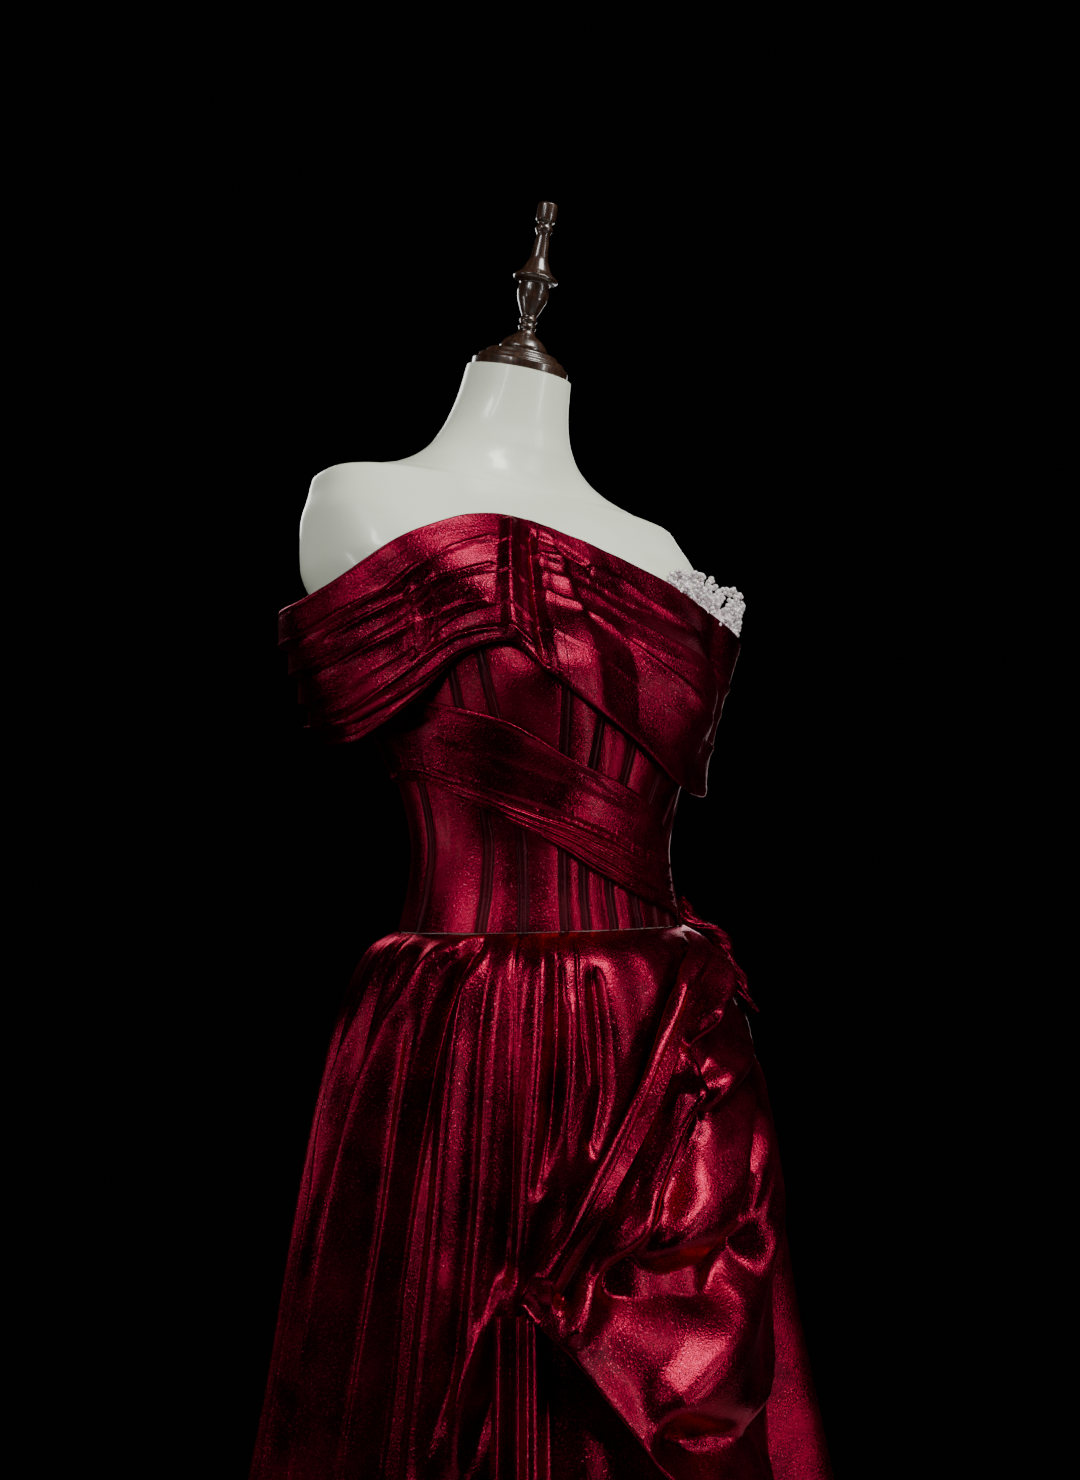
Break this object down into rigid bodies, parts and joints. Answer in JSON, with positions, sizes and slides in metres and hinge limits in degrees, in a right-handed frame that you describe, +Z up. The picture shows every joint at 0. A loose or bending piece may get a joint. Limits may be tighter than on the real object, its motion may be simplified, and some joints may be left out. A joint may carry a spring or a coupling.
{
  "type": "prom dress on a limbless dress form",
  "caption": "Floor-length velvet evening gown with off-the-shoulder pleated band, boned bodice, sash and hip drape, on a limbless dress form with a turned finial and round stand.",
  "frame": {"origin": "middle of the stand base's underside, on the floor", "axes": "+Z up; the gown's front looks along -Y; the wearer's left is +X"},
  "size_m": [0.7291, 0.7319, 1.683],
  "materials": {
    "gown_velvet": "crushed shimmering velvet",
    "bodice_velvet": "shimmering velvet",
    "boning_velvet": "velvet piping tape, darker",
    "beads": "clear pinkish white beads, glossy",
    "form_gloss": "white lacquer, slightly green, glossy",
    "turned_wood": "dark brown lacquered turned wood",
    "stand_metal": "black satin powder coat"
  },
  "bodies": {
    "root": {"back_zip_cover": "boning_velvet", "band_left": "gown_velvet", "band_right": "gown_velvet", "band_under_layer": "gown_velvet", "bead_trim": "beads", "bodice_10_centre_left_to_inner_left": "bodice_velvet", "bodice_11_inner_left_to_outer_left": "bodice_velvet", "bodice_12_outer_left_to_side_front_left": "bodice_velvet", "bodice_13_side_front_left_to_side_left": "bodice_velvet", "bodice_14_side_left_to_side_back_left": "bodice_velvet", "bodice_15_side_back_left_to_back_left": "bodice_velvet", "bodice_16_back_left_to_opening_left": "bodice_velvet", "bodice_1_opening_right_to_back_right": "bodice_velvet", "bodice_2_back_right_to_side_back_right": "bodice_velvet", "bodice_3_side_back_right_to_side_right": "bodice_velvet", "bodice_4_side_right_to_outer_right": "bodice_velvet", "bodice_5_outer_right_to_bust_right": "bodice_velvet", "bodice_6_bust_right_to_inner_right": "bodice_velvet", "bodice_7_inner_right_to_centre_right": "bodice_velvet", "bodice_8_centre_right_to_centre": "bodice_velvet", "bodice_9_centre_to_centre_left": "bodice_velvet", "boning_back_left": "boning_velvet", "boning_back_right": "boning_velvet", "boning_bust_right": "boning_velvet", "boning_centre": "boning_velvet", "boning_centre_left": "boning_velvet", "boning_centre_right": "boning_velvet", "boning_inner_left": "boning_velvet", "boning_inner_right": "boning_velvet", "boning_outer_left": "boning_velvet", "boning_outer_right": "boning_velvet", "boning_side_back_left": "boning_velvet", "boning_side_back_right": "boning_velvet", "boning_side_front_left": "boning_velvet", "boning_side_left": "boning_velvet", "boning_side_right": "boning_velvet", "drape_front_tail": "gown_velvet", "finial": "turned_wood", "form_torso": "form_gloss", "hip_drape": "gown_velvet", "neck_cap": "turned_wood", "sash_end": "gown_velvet", "sash_flat": "gown_velvet", "sash_pleats": "gown_velvet", "skirt_back_left": "gown_velvet", "skirt_back_right": "gown_velvet", "skirt_front": "gown_velvet", "skirt_front_right": "gown_velvet", "skirt_side_back_left": "gown_velvet", "skirt_side_back_right": "gown_velvet", "skirt_side_left": "gown_velvet", "skirt_side_right": "gown_velvet", "stand_base": "stand_metal", "stand_pole": "stand_metal"}
  },
  "joints": []
}
